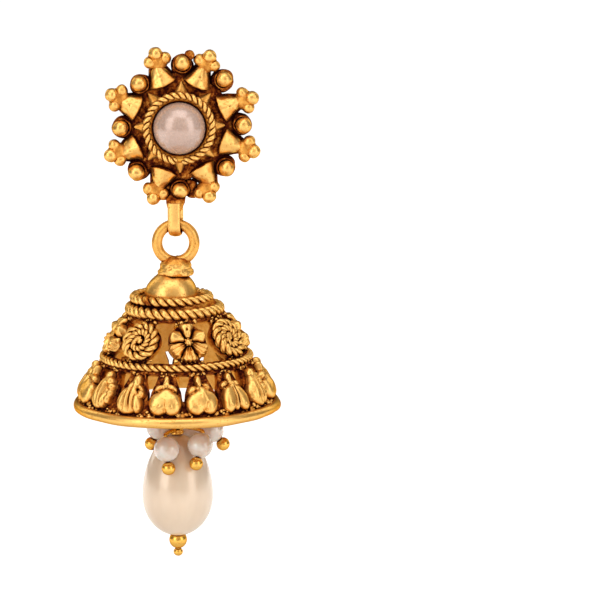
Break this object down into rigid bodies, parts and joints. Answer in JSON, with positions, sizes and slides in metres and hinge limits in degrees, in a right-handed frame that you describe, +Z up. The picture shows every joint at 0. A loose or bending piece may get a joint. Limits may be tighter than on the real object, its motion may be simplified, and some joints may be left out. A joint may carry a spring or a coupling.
{
  "type": "jhumka earring",
  "caption": "Jhumka drop earring: a pearl-centred flower stud on a post, a pierced bell hung by a ring, and a beaded pearl drop swinging inside the bell.",
  "frame": {"origin": "middle of the stud's flat back, where it sits on the ear", "axes": "+Y along the post towards the ear, so the front faces -Y; +Z up, with the bell and its drop hanging down"},
  "size_m": [0.0207, 0.0227, 0.0511],
  "materials": {
    "antique_gold": "cast and soldered gold-coloured metal, polished on its high places and dark reddish brown in its hollows",
    "pin_gold": "polished gold-coloured wire and balls",
    "post_metal": "plain gold-coloured wire, lightly polished",
    "stud_pearl": "half pearl, pinkish beige-grey, soft gloss",
    "drop_pearl": "drop pearl, warm cream, smooth soft gloss",
    "milky_bead": "round pearl bead, milky pink, glossy and slightly translucent"
  },
  "bodies": {
    "stud": {"rosette": "antique_gold", "ear_post": "post_metal", "stud_pearl": "stud_pearl"},
    "bell": {"bell": "antique_gold"},
    "drop": {"drop_pin": "pin_gold", "drop_pearl": "drop_pearl", "drop_bead": "pin_gold", "small_bead_1": "milky_bead", "small_bead_2": "milky_bead", "small_bead_3": "milky_bead", "small_bead_4": "milky_bead", "small_bead_5": "milky_bead", "small_bead_6": "milky_bead", "head_pin_1": "pin_gold", "head_pin_2": "pin_gold", "head_pin_3": "pin_gold", "head_pin_4": "pin_gold", "head_pin_5": "pin_gold", "head_pin_6": "pin_gold"}
  },
  "joints": [
    {"name": "bell_swing", "type": "hinge", "parent": "stud", "child": "bell", "pos_m": [-0.00045, -0.0013, -0.00962], "axis": [1, 0, 0], "range_deg": [-50, 50]},
    {"name": "drop_swing", "type": "hinge", "parent": "bell", "child": "drop", "pos_m": [-0.00045, -0.0013, -0.01903], "axis": [1, 0, 0], "range_deg": [-20, 20]}
  ]
}
